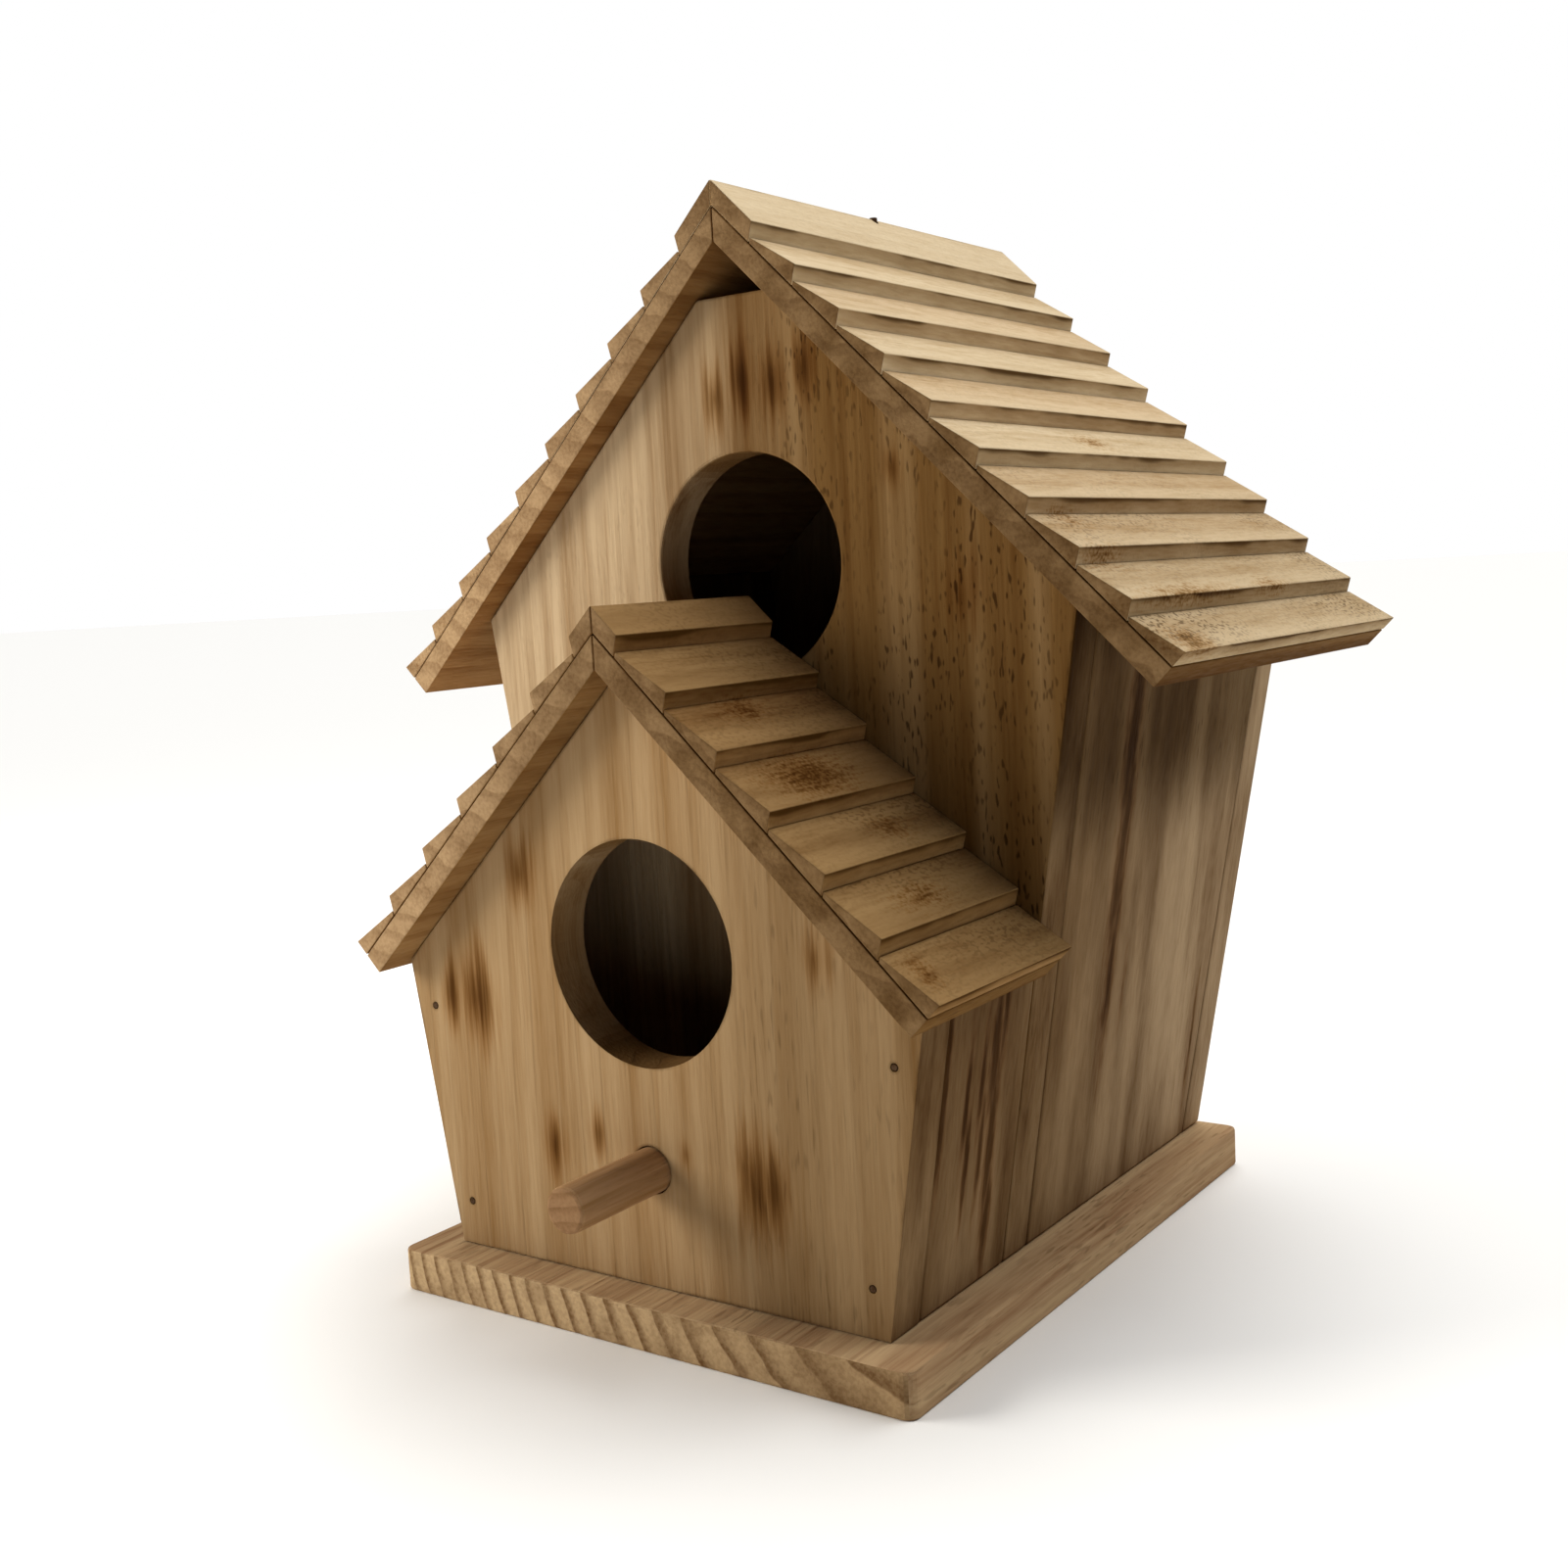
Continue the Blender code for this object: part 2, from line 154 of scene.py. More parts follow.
def hex_colour(code):
    """Turn an sRGB hex value such as C89B6A into linear red, green, blue and alpha."""
    linear = []
    for start in (0, 2, 4):
        share = int(code[start:start + 2], 16) / 255
        linear.append(share / 12.92 if share <= 0.04045 else ((share + 0.055) / 1.055) ** 2.4)
    return (*linear, 1.0)


def add_node(tree, kind, *values, inputs=None, output=0, **settings):
    """Add one shader node and return one of its outputs; a socket given as a value is linked."""
    node = tree.nodes.new("ShaderNode" + kind)
    for name, value in settings.items():
        setattr(node, name, value)
    for key, value in [*enumerate(values), *(inputs or {}).items()]:
        if isinstance(value, bpy.types.NodeSocket):
            tree.links.new(value, node.inputs[key])
        else:
            node.inputs[key].default_value = value
    return node.outputs[output]


def new_material(name):
    """Start a material and return it with its shader."""
    material = bpy.data.materials.new(name)
    material.use_nodes = True
    return material, material.node_tree.nodes["Principled BSDF"]


def colour_setting(name, description, code):
    """Describe one colour that a user can change."""
    return FloatVectorProperty(
        name=name, description=description, subtype="COLOR", size=4, min=0, max=1, default=hex_colour(code))


class WoodSettings(bpy.types.PropertyGroup):
    """Colours and grain of the wooden pieces."""

    front_pale: colour_setting("Front pale", "Early wood of the lower front panel", "AC8F69")
    front_dark: colour_setting("Front dark", "Late wood of the front panels", "7F5B30")
    upper_pale: colour_setting("Upper front pale", "Early wood of the upper front panel", "C4AB88")
    side_pale: colour_setting("Side pale", "Early wood of the walls and the back", "B89D7A")
    side_dark: colour_setting("Side dark", "Late wood of the walls and the back", "664828")
    base_pale: colour_setting("Base pale", "Early wood of the base board", "C2A57D")
    base_dark: colour_setting("Base dark", "Late wood of the base board", "7E5639")
    roof_pale: colour_setting("Roof pale", "Early wood of the upper roof", "E0CAA5")
    roof_dark: colour_setting("Roof dark", "Late wood of the upper roof", "A5824F")
    porch_pale: colour_setting("Porch pale", "Early wood of the lower roof", "B18E5E")
    porch_dark: colour_setting("Porch dark", "Late wood of the lower roof", "6E4B25")
    board_pale: colour_setting("Board pale", "Early wood of the roofs' backing boards", "D6AC74")
    board_dark: colour_setting("Board dark", "Late wood of the roofs' backing boards", "A07342")
    perch: colour_setting("Perch", "Wood of the perch", "B08B65")
    perch_end: colour_setting("Perch end", "Sawn end of the perch", "957352")
    end_pale: colour_setting("End grain", "Sawn ends of the roof boards and slats", "B2936D")
    end_dark: colour_setting("End pores", "Late wood and pores in sawn ends", "654424")
    # Darker than the other end grain, partly painted shade inside the entry holes
    bore_wall: colour_setting("Bore wall", "Upper and lower wood in the entry holes", "86663F")
    # Browner heartwood, and also painted shade: at the right of the upper front panel, on the slats' butts
    # and on the upper roof's lower slats
    heartwood: colour_setting("Heartwood tint", "Tint of the browner wood", "A08B67")
    # Colours the walls' dark streaks and darkens the top of the back, and paints shade: under the eaves,
    # toward the right of the lower front panel, of the roof boards and of the roof ends
    smoke_and_shade: colour_setting("Smoke tint", "Tint of smoked and sheltered wood", "92856D")
    blush: colour_setting("Blush", "Pinkish tint that some slats have", "F2E1D4")
    halo: colour_setting("Torch halo", "Warm tint round a torch mark", "DCC29C")
    scorch: colour_setting("Scorch tint", "Tint of a torch mark", "8C7C5C")
    # Also paints shade on the faces that look inward and a shadow line under each slat's lip
    torch_and_shade: colour_setting("Burnt", "Burnt arrises and the bottoms of pores", "42290B")
    # Real fibres are hundredths of a millimetre wide, so each streak stands for a bundle of them
    fibre_width: FloatProperty(
        name="Fibre width", description="Width of one fine streak of the grain", default=0.8 * MM,
        min=0.1 * MM, max=5 * MM, unit="LENGTH")
    scorched_edge: FloatProperty(
        name="Scorched edge", description="How far the flame browned the boards' edges", default=1.5 * MM,
        min=0.1 * MM, max=5 * MM, unit="LENGTH")


class SteelSettings(bpy.types.PropertyGroup):
    """Colours and rust of the nails and the ridge pin."""

    bare: colour_setting("Bare steel", "Dull steel between the rust", "4C3826")
    rust: colour_setting("Rust", "Rust on the steel", "3E2815")
    # Real grains of rust are finer, and these are as coarse as it takes to show on a nail head
    rust_patch: FloatProperty(
        name="Rust patch", description="Width of one patch of rust", default=0.8 * MM, min=0.1 * MM,
        max=5 * MM, unit="LENGTH")


class StageSettings(bpy.types.PropertyGroup):
    """Camera, floor, room and lights of the studio."""

    lens: FloatProperty(
        name="Lens", description="Focal length on a 36 mm sensor", default=40.835, min=10, unit="CAMERA")
    eye: FloatVectorProperty(
        name="Eye", description="Where the camera stands", size=3, subtype="TRANSLATION",
        default=(0.24538, -0.36392, 0.16433))
    turn: FloatVectorProperty(
        name="Turn", description="How the camera is turned", size=3, subtype="EULER",
        default=(math.radians(83.340), math.radians(2.991), math.radians(35.035)))
    floor: colour_setting("Floor", "Matt paper of the floor", "F4F3F0")
    room: colour_setting("Room", "Colour of the room behind", "FFFFFF")
    room_light: FloatProperty(
        name="Room light", description="Brightness of the room behind", default=1.0, min=0)
    key_power: FloatProperty(
        name="Key light", description="Power of the soft light at the left", default=6.8, min=0,
        unit="POWER")
    key_size: FloatProperty(
        name="Key light size", description="Side of the square lamp at the left", default=0.45,
        min=0.01, unit="LENGTH")
    key_place: FloatVectorProperty(
        name="Key light place", description="Where the lamp at the left hangs", size=3,
        subtype="TRANSLATION", default=(-0.62, -0.50, 0.38))
    key_colour: FloatVectorProperty(
        name="Key light colour", description="Warm white of the lamp at the left", size=3,
        subtype="COLOR", min=0, max=1, default=(1, 0.97, 0.92))
    sky_power: FloatProperty(
        name="Sky light", description="Strength of the broad light from above and behind",
        default=4.0, min=0)
    sky_spread: FloatProperty(
        name="Sky spread", description="How wide the broad light is seen from the house",
        default=math.radians(70), min=0, subtype="ANGLE")


def grain_streaks(tree, along, width, length, detail=2.0, output=0):
    """Return a noise whose patches are as wide across the grain and as long along it as given."""
    squeezed = add_node(
        tree, "VectorMath", along, (1 / width, 1 / width, 1 / length), operation="MULTIPLY")
    return add_node(
        tree, "TexNoise", inputs={"Vector": squeezed, "Scale": 1.0, "Detail": detail}, output=output)


def ring_lines(tree, along, rings, bands):
    """Return how dark each point is with late wood, in growth rings round a wandering pith."""
    node = partial(add_node, tree)
    drift = grain_streaks(tree, along, *TRUNK_BEND, detail=1.0, output="Color")
    centre = [-rings.wander / 2 - pith for pith in rings.pith]
    drift = node(
        "VectorMath", drift, (rings.wander, rings.wander, 0), (*centre, 0), operation="MULTIPLY_ADD")
    trunk = node("VectorMath", along, drift, operation="ADD")
    trunk = node("VectorMath", trunk, (1, 1, 0), operation="MULTIPLY")
    radius = node("VectorMath", trunk, output="Value", operation="LENGTH")
    # The count of rings from the pith, where the number per millimetre changes evenly outward
    change = (1 / rings.far_spacing - 1 / rings.near_spacing) / (rings.far_radius - rings.near_radius)
    start = 1 / rings.near_spacing - change * rings.near_radius
    count = node("Math", radius, change / 2, start, operation="MULTIPLY_ADD")
    count = node("Math", count, radius, operation="MULTIPLY")
    # Where a broad band lies, the rings are a little farther on
    count = node("Math", bands, rings.wander / 8, count, operation="MULTIPLY_ADD")
    part = node("Math", count, operation="FRACT")
    rise = node("MapRange", part, rings.early, LATE_FULL, 0.0, 1.0, **SOFT)
    fall = node("MapRange", part, LATE_END, 1.0, 1.0, 0.0, **SOFT)
    return node("Math", rise, fall, operation="MULTIPLY")


def slat_butts(tree, normal, facing, slope):
    """Return where a stepped slope's faces are the butts of its slats and not their treads."""
    node = partial(add_node, tree)
    upward = node("VectorMath", normal, operation="ABSOLUTE")
    upward = node("VectorMath", upward, (slope.upward[0], 0, 0), output="Value", operation="DOT_PRODUCT")
    rise = node("SeparateXYZ", normal, output=UP_Z)
    upward = node("Math", rise, slope.upward[2], upward, operation="MULTIPLY_ADD")
    butt = node("MapRange", upward, *BUTT_TURN, 0.0, 1.0)
    side = node("MapRange", facing, *SIDE_TURN, 0.0, 1.0)
    return node("Math", butt, side, operation="MULTIPLY")


def trunk_patterns(tree, wood):
    """Lay out a wood's patterns as its pieces were cut from one trunk."""
    node = partial(add_node, tree)
    fibre_width = bpy.context.scene.birdhouse_wood.fibre_width / MM
    place = node("TexCoord", output="Object")
    place = node("VectorMath", place, inputs={"Scale": 1 / MM}, operation="SCALE")
    along = node("Mapping", place, (0, 0, 0), wood.grain.turn)
    chance = node("ObjectInfo", output="Random")
    if wood.spread:
        shift = node(
            "VectorMath", (wood.spread, wood.spread / 2, CUT_APART), inputs={"Scale": chance},
            operation="SCALE")
        along = node("VectorMath", along, shift, operation="ADD")
    normal = node("NewGeometry", output="True Normal")
    facing = node("VectorMath", normal, wood.grain.fibres, output="Value", operation="DOT_PRODUCT")
    facing = node("Math", facing, operation="ABSOLUTE")
    bands = grain_streaks(tree, along, wood.band_width, BAND_LENGTH, detail=1.0)
    return Patterns(
        place=place, along=along, normal=normal, chance=chance,
        butt=slat_butts(tree, normal, facing, wood.slope) if wood.slope else 0.0,
        sawn=node("MapRange", facing, *SAWN_TURN, 0.0, 1.0, **SOFT),
        fibre=grain_streaks(tree, along, fibre_width, wood.fibre_length, detail=3.0),
        coarse=grain_streaks(tree, along, COARSE_WIDTH, 4 * wood.fibre_length),
        bands=bands, late=ring_lines(tree, along, wood.rings, bands),
        speck=node("TexNoise", inputs={"Vector": along, "Scale": 1 / END_SPECK, "Detail": 2.0}),
        mottle=node("TexNoise", inputs={"Vector": along, "Scale": 1 / END_MOTTLE, "Detail": 3.0}))


def browned(tree, place, browning):
    """Return how far along its browning each point of a board lies, from none to all."""
    where = add_node(tree, "SeparateXYZ", place, output=browning.axis)
    return add_node(tree, "MapRange", where, browning.start, browning.end, 0.0, 1.0, **SOFT)


def tinted(tree, colour, place, browning, uneven):
    """Return a colour multiplied by a browning's tint, along the board and a little unevenly."""
    tint = getattr(bpy.context.scene.birdhouse_wood, browning.tint)
    least, most = (part * browning.share for part in UNEVEN)
    share = add_node(tree, "MapRange", uneven, *NOISE_RANGE, least, most)
    share = add_node(tree, "Math", browned(tree, place, browning), share, operation="MULTIPLY")
    return add_node(tree, "Mix", share, inputs={UNDER: colour, OVER: tint}, **TINT)


def board_tone(tree, wood, patterns):
    """Return how dark a board is with bands, rings and streaks, and each slat a little by chance."""
    node = partial(add_node, tree)
    tone = node("MapRange", patterns.bands, 0.35, 0.68, 0.0, wood.band_share, **SOFT)
    tone = node("Math", patterns.late, wood.ring_share, tone, operation="MULTIPLY_ADD")
    for streaks, begin, full in ((patterns.coarse, 0.42, 0.72), (patterns.fibre, 0.35, 0.75)):
        streak = node("MapRange", streaks, begin, full, 0.0, wood.fibre_share, **SOFT)
        tone = node("Math", tone, streak, operation="ADD")
    if wood.spread:
        tone = node("Math", patterns.chance, 0.12, tone, operation="MULTIPLY_ADD")
    return tone


def pore_spots(tree, wood, patterns):
    """Return short dark pores, in patches and most where the board is brownest."""
    node = partial(add_node, tree)
    pores = wood.pores
    spots = grain_streaks(tree, patterns.along, pores.width, pores.length, detail=0.0)
    spots = node("MapRange", spots, pores.sparse, pores.sparse + 0.18, 0.0, 1.0, **SOFT)
    patch = grain_streaks(tree, patterns.along, *PORE_PATCH, detail=1.0)
    patch = node("MapRange", patch, 0.38, 0.62, 0.25 * pores.share, pores.share, **SOFT)
    if wood.brownings:
        amount = browned(tree, patterns.place, wood.brownings[0])
        amount = node("MapRange", amount, pores.begin, 1.0, 0.15, 1.0, **SOFT)
        patch = node("Math", patch, amount, operation="MULTIPLY")
    if wood.slope:
        fewer = node("MapRange", patterns.butt, 0.0, 1.0, 1.0, 0.25, **SOFT)
        patch = node("Math", patch, fewer, operation="MULTIPLY")
    return node("Math", spots, patch, operation="MULTIPLY")


def match_panel_sides(tree, colour, tone, patterns):
    """Give a front panel's upright edges the tone of the wall beside them."""
    settings = bpy.context.scene.birdhouse_wood
    node = partial(add_node, tree)
    wall = node("Mix", tone, inputs={UNDER: settings.side_pale, OVER: settings.side_dark}, **COVER)
    # The walls' painted shade under the eaves comes onto the panels' edges too
    for browning in WALL_BROWNINGS:
        wall = tinted(tree, wall, patterns.place, browning, patterns.bands)
    sideways = node("VectorMath", patterns.place, (1, 0, 0), operation="MULTIPLY")
    sideways = node(
        "VectorMath", sideways, patterns.normal, output="Value", operation="DOT_PRODUCT")
    sideways = node("MapRange", sideways, *PANEL_SIDE, 0.0, 1.0, **SOFT)
    return node("Mix", sideways, inputs={UNDER: colour, OVER: wall}, **COVER)


def end_colour(tree, wood, patterns):
    """Return the colour of sawn ends, with open pores and with rings that fade in patches."""
    settings = bpy.context.scene.birdhouse_wood
    node = partial(add_node, tree)
    tone = node("MapRange", patterns.speck, 0.35, 0.70, 0.0, 0.22, **SOFT)
    fading = node("MapRange", patterns.mottle, 0.35, 0.65, 1.15, 0.45, **SOFT)
    late = node("Math", patterns.late, fading, operation="MULTIPLY")
    tone = node("Math", late, wood.end_ring_share, tone, operation="MULTIPLY_ADD")
    blotch = node("MapRange", patterns.mottle, 0.40, 0.65, 0.0, 0.28, **SOFT)
    tone = node("Math", tone, blotch, operation="ADD")
    pale = wood.end_pale or settings.end_pale
    colour = node("Mix", tone, inputs={UNDER: pale, OVER: settings.end_dark}, **COVER)
    if wood.end_browning:
        colour = tinted(tree, colour, patterns.place, wood.end_browning, patterns.mottle)
    return colour


def wear_and_shade_slats(tree, colour, wood, patterns):
    """Make slats pale toward their lips, partly wear and partly painted light, and darken their butts under
    the lips with painted shade and a painted shadow line.
    """
    settings = bpy.context.scene.birdhouse_wood
    node = partial(add_node, tree)
    lip = wood.slope.lip
    height = node("VectorMath", patterns.place, operation="ABSOLUTE")
    height = node("VectorMath", height, wood.slope.upward, output="Value", operation="DOT_PRODUCT")
    # The pale lips are partly wear and partly painted light
    worn = grain_streaks(tree, patterns.along, *LIP_WEAR)
    rubbed_and_lit = node("Math", worn, height, operation="ADD")
    rubbed_and_lit = node("MapRange", rubbed_and_lit, lip - 1.0, lip + 0.6, 0.0, 0.4, **SOFT)
    for other_face in (patterns.butt, patterns.sawn):
        tread = node("MapRange", other_face, 0.0, 1.0, 1.0, 0.0, **SOFT)
        rubbed_and_lit = node("Math", rubbed_and_lit, tread, operation="MULTIPLY")
    colour = node("Mix", rubbed_and_lit, inputs={UNDER: colour, OVER: wood.pale}, **COVER)
    # The brown on the butts, strongest under the lips, is painted shade, and the dark line under each lip
    # is partly scorch and partly painted shadow
    wavy = node("MapRange", worn, 0.28, 0.72, 0.1, 1.6, **SOFT)
    height = node("Math", wavy, height, operation="ADD")
    warm = node("MapRange", height, lip - 3.0, lip + 1.0, 0.12, 0.7, **SOFT)
    warm = node("Math", patterns.butt, warm, operation="MULTIPLY")
    colour = node("Mix", warm, inputs={UNDER: colour, OVER: settings.heartwood}, **TINT)
    burn_and_shade = node("MapRange", height, lip + 0.1, lip + 1.1, 0.0, 0.85, **SOFT)
    burn_and_shade = node("Math", patterns.butt, burn_and_shade, operation="MULTIPLY")
    return node("Mix", burn_and_shade, inputs={UNDER: colour, OVER: settings.torch_and_shade}, **COVER)


def mark_distance(tree, place, axis, marks):
    """Return the distance to the nearest torch mark, in the mark's half sizes."""
    node = partial(add_node, tree)
    nearest = FAR_OFF
    for mark in marks:
        centre = [0, 0, mark.height]
        size = [MARK_DEPTH, MARK_DEPTH, mark.half_height]
        centre[axis] = mark.across
        size[axis] = mark.half_width
        offset = node("Mapping", place, centre, (0, 0, 0), size, vector_type="TEXTURE")
        distance = node("VectorMath", offset, output="Value", operation="LENGTH")
        weakened = node("Math", distance, 1 - mark.strength, operation="ADD")
        nearest = node("Math", weakened, nearest, operation="MINIMUM")
    return nearest


def torch_marks(tree, colour, wood, patterns):
    """Tint a colour with torch marks, frayed along the fibres on a panel and granular on a slat."""
    settings = bpy.context.scene.birdhouse_wood
    node = partial(add_node, tree)
    grains = patterns.speck if wood.slope else patterns.coarse
    ragged = node("MapRange", grains, *NOISE_RANGE, wood.fray, -wood.fray, **SOFT)
    finer = node("MapRange", patterns.fibre, *NOISE_RANGE, wood.fray / 2, -wood.fray / 2, **SOFT)
    ragged = node("Math", ragged, finer, operation="ADD")
    nearest = mark_distance(tree, patterns.place, wood.mark_axis, wood.marks)
    nearest = node("Math", nearest, ragged, operation="ADD")
    # The paler tint reaches farther out than the darker one
    for tint, full, none in zip(wood.mark_tints, (0.50, 0.0), (1.70, 1.25)):
        share = node("MapRange", nearest, full, none, 0.9, 0.0, **SOFT)
        colour = node("Mix", share, inputs={UNDER: colour, OVER: getattr(settings, tint)}, **TINT)
    return colour


def scorched_edges(tree, wood, patterns):
    """Return where the flame browned the arrises, in uneven stretches and less on sawn ends."""
    node = partial(add_node, tree)
    rounded = node("Bevel", bpy.context.scene.birdhouse_wood.scorched_edge, samples=6)
    alike = node("VectorMath", rounded, patterns.normal, output="Value", operation="DOT_PRODUCT")
    edge = node("MapRange", alike, *ARRIS_TURN, 0.0, 1.0, **SOFT)
    stretch = node(
        "TexNoise", inputs={"Vector": patterns.place, "Scale": 1 / SCORCHED_STRETCH, "Detail": 2.0})
    stretch = node("MapRange", stretch, 0.42, 0.62, 0.15, 1.0, **SOFT)
    edge = node("Math", edge, stretch, operation="MULTIPLY")
    strength = node("MapRange", patterns.sawn, 0.0, 1.0, wood.scorch, 0.15, **SOFT)
    return node("Math", edge, strength, operation="MULTIPLY")


def inward_faces(tree, wood, patterns):
    """Return which faces look inward, to the house or on a front panel to the middle of its hole, to darken
    them with painted shade.
    """
    node = partial(add_node, tree)
    outward = node(
        "VectorMath", patterns.place, (1, 1, 1 if wood.hole else 0), (0, 0, -wood.hole),
        operation="MULTIPLY_ADD")
    outward = node("VectorMath", outward, patterns.normal, output="Value", operation="DOT_PRODUCT")
    return node("MapRange", outward, *INWARD_FACE, 0.0, 0.25, **SOFT)


def make_wood(wood):
    """Build a sawn softwood whose rings, fibres, pores and end grain come from one trunk."""
    settings = bpy.context.scene.birdhouse_wood
    material, shader = new_material(wood.name)
    tree = material.node_tree
    node = partial(add_node, tree)
    patterns = trunk_patterns(tree, wood)
    tone = board_tone(tree, wood, patterns)
    pores = pore_spots(tree, wood, patterns)

    # The long grain
    colour = node("Mix", tone, inputs={UNDER: wood.pale, OVER: wood.dark}, **COVER)
    if wood.spread:
        rosy = node("MapRange", patterns.chance, 0.3, 1.0, 0.0, 0.4, **SOFT)
        colour = node("Mix", rosy, inputs={UNDER: colour, OVER: settings.blush}, **TINT)
    colour = node("Mix", pores, inputs={UNDER: colour, OVER: settings.torch_and_shade}, **COVER)
    for browning in wood.brownings:
        colour = tinted(tree, colour, patterns.place, browning, patterns.bands)
    if wood.hole:
        colour = match_panel_sides(tree, colour, tone, patterns)

    # The sawn ends, the wear, what the flame did, and painted light and shade
    ends = end_colour(tree, wood, patterns)
    colour = node("Mix", patterns.sawn, inputs={UNDER: colour, OVER: ends}, **COVER)
    if wood.slope:
        colour = wear_and_shade_slats(tree, colour, wood, patterns)
    if wood.marks:
        colour = torch_marks(tree, colour, wood, patterns)
    # Scorched arrises, and painted shade on the faces that look inward
    for burn_and_shade in (scorched_edges(tree, wood, patterns), inward_faces(tree, wood, patterns)):
        colour = node("Mix", burn_and_shade, inputs={UNDER: colour, OVER: settings.torch_and_shade}, **COVER)

    # Sawn wood hardly shines: its torn fibres swallow nearly all of the mirror part
    shader.inputs["Specular IOR Level"].default_value = 0.01
    rough = node("MapRange", patterns.fibre, *NOISE_RANGE, 0.60, 0.78, **SOFT)
    relief = node("Math", patterns.late, -0.3, patterns.fibre, operation="MULTIPLY_ADD")
    relief = node("Math", pores, -0.6, relief, operation="MULTIPLY_ADD")
    bump = node("Bump", inputs={"Strength": 0.6, "Distance": RELIEF_DEPTH * MM, "Height": relief})
    tree.links.new(colour, shader.inputs["Base Color"])
    tree.links.new(rough, shader.inputs["Roughness"])
    tree.links.new(bump, shader.inputs["Normal"])
    return material


def pieces_with(*words):
    """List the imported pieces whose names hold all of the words."""
    return sorted(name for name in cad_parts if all(word in name for word in words))


def dress(names, material):
    """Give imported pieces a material."""
    for name in names:
        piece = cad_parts[name]
        piece.data.materials.clear()
        piece.data.materials.append(material)


def stepped_slope(roof, wear):
    """Work out a roof's right slope from two of its slats, its lips worn down by some millimetres."""
    names = [f"{roof}_roof_right_slat_{count:02d}" for count in (2, 3)]
    upper, lower = (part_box(name) for name in names)
    run = lower[1][0] - upper[1][0]
    drop = upper[0][2] - lower[0][2]
    upward = Vector((drop, 0, run)).normalized()
    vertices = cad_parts[names[0]].data.vertices
    lip = max(vertex.co.dot(upward) for vertex in vertices)
    return Slope(tuple(upward), lip / MM - wear)


class BIRDHOUSE_OT_base(bpy.types.Operator):
    """Finish the base board: sawn softwood with its grain from front to back"""

    bl_idname = "birdhouse.base"
    bl_label = "Base Board"

    def execute(self, context):
        settings = context.scene.birdhouse_wood
        # Fir, sawn: its front end shows rings, close and upright at the left, wide and slanting
        # at the right
        base = Wood(
            "sawn_fir_base", FRONT_TO_BACK, Rings((80, -42), 47, 9.5, 120, 5.0, early=0.45, wander=2.6),
            settings.base_pale, settings.base_dark, ring_share=0.12, end_ring_share=0.62,
            band_share=0.3, end_pale=settings.base_pale,
            end_browning=Browning(ACROSS_X, -40, 75, 0.42))
        dress(["base_board"], make_wood(base))
        return {"FINISHED"}


class BIRDHOUSE_OT_front_panels(bpy.types.Operator):
    """Finish the two front panels: torched softwood with upright grain"""

    bl_idname = "birdhouse.front_panels"
    bl_label = "Front Panels"

    def execute(self, context):
        settings = context.scene.birdhouse_wood
        lower_marks = (
            Mark(-33.6, 101, 4.5, 9, 0.7), Mark(-58, 71, 3.5, 9, 0.8), Mark(-49.5, 71, 5, 12, 0.9),
            Mark(-28.2, 38.5, 3.4, 9, 0.6), Mark(-14.6, 43, 2.6, 7, 0.6), Mark(28.4, 36.5, 4.2, 13, 0.95),
            Mark(33, 37.5, 4.2, 10.5, 0.9), Mark(45.8, 88, 5, 10, 0.5), Mark(9.8, 41.7, 2.4, 6, 0.4),
        )
        upper_marks = (
            Mark(-6.8, 206, 3.6, 9, 0.75), Mark(1.1, 209.5, 3.4, 9, 0.85), Mark(9.3, 208, 3.4, 9, 0.85),
            Mark(17.8, 210.5, 3.2, 9, 0.8), Mark(40.1, 186.6, 5, 7, 0.2), Mark(55.8, 158, 6, 14, 0.45),
        )
        panel = partial(
            Wood, grain=UPRIGHT, dark=settings.front_dark, ring_share=0.14, band_share=0.42,
            fibre_share=0.18, fray=0.25, end_pale=settings.bore_wall)
        # Fir, sawn and torched: soft straight bands with brown smudges where the flame stayed
        lower = panel(
            "torched_fir_lower_front", rings=Rings((240, 30), 180, 11, 300, 6), pale=settings.front_pale,
            band_width=11.0, pores=Pores(0.8, 6.0, 0.6, 0.3), marks=lower_marks, hole=LOWER_HOLE,
            # The right of the panel is darkened with painted shade, away from the lamp at the left
            brownings=(Browning(ACROSS_X, 5, 44, 0.5, "smoke_and_shade"),))
        dress(["lower_front_panel"], make_wood(lower))
        # Fir, sawn and torched: browner at the right, partly heartwood and partly painted shade, peppered
        # with dark pores
        upper = panel(
            "torched_fir_upper_front", rings=Rings((-260, 60), 200, 6, 340, 10), pale=settings.upper_pale,
            band_width=9.0, pores=Pores(0.7, 2.4, 0.62, 0.75, 0.85), marks=upper_marks, scorch=1.0,
            hole=UPPER_HOLE, brownings=(Browning(ACROSS_X, -60, 28, 1.0),))
        dress(["upper_front_panel"], make_wood(upper))
        return {"FINISHED"}


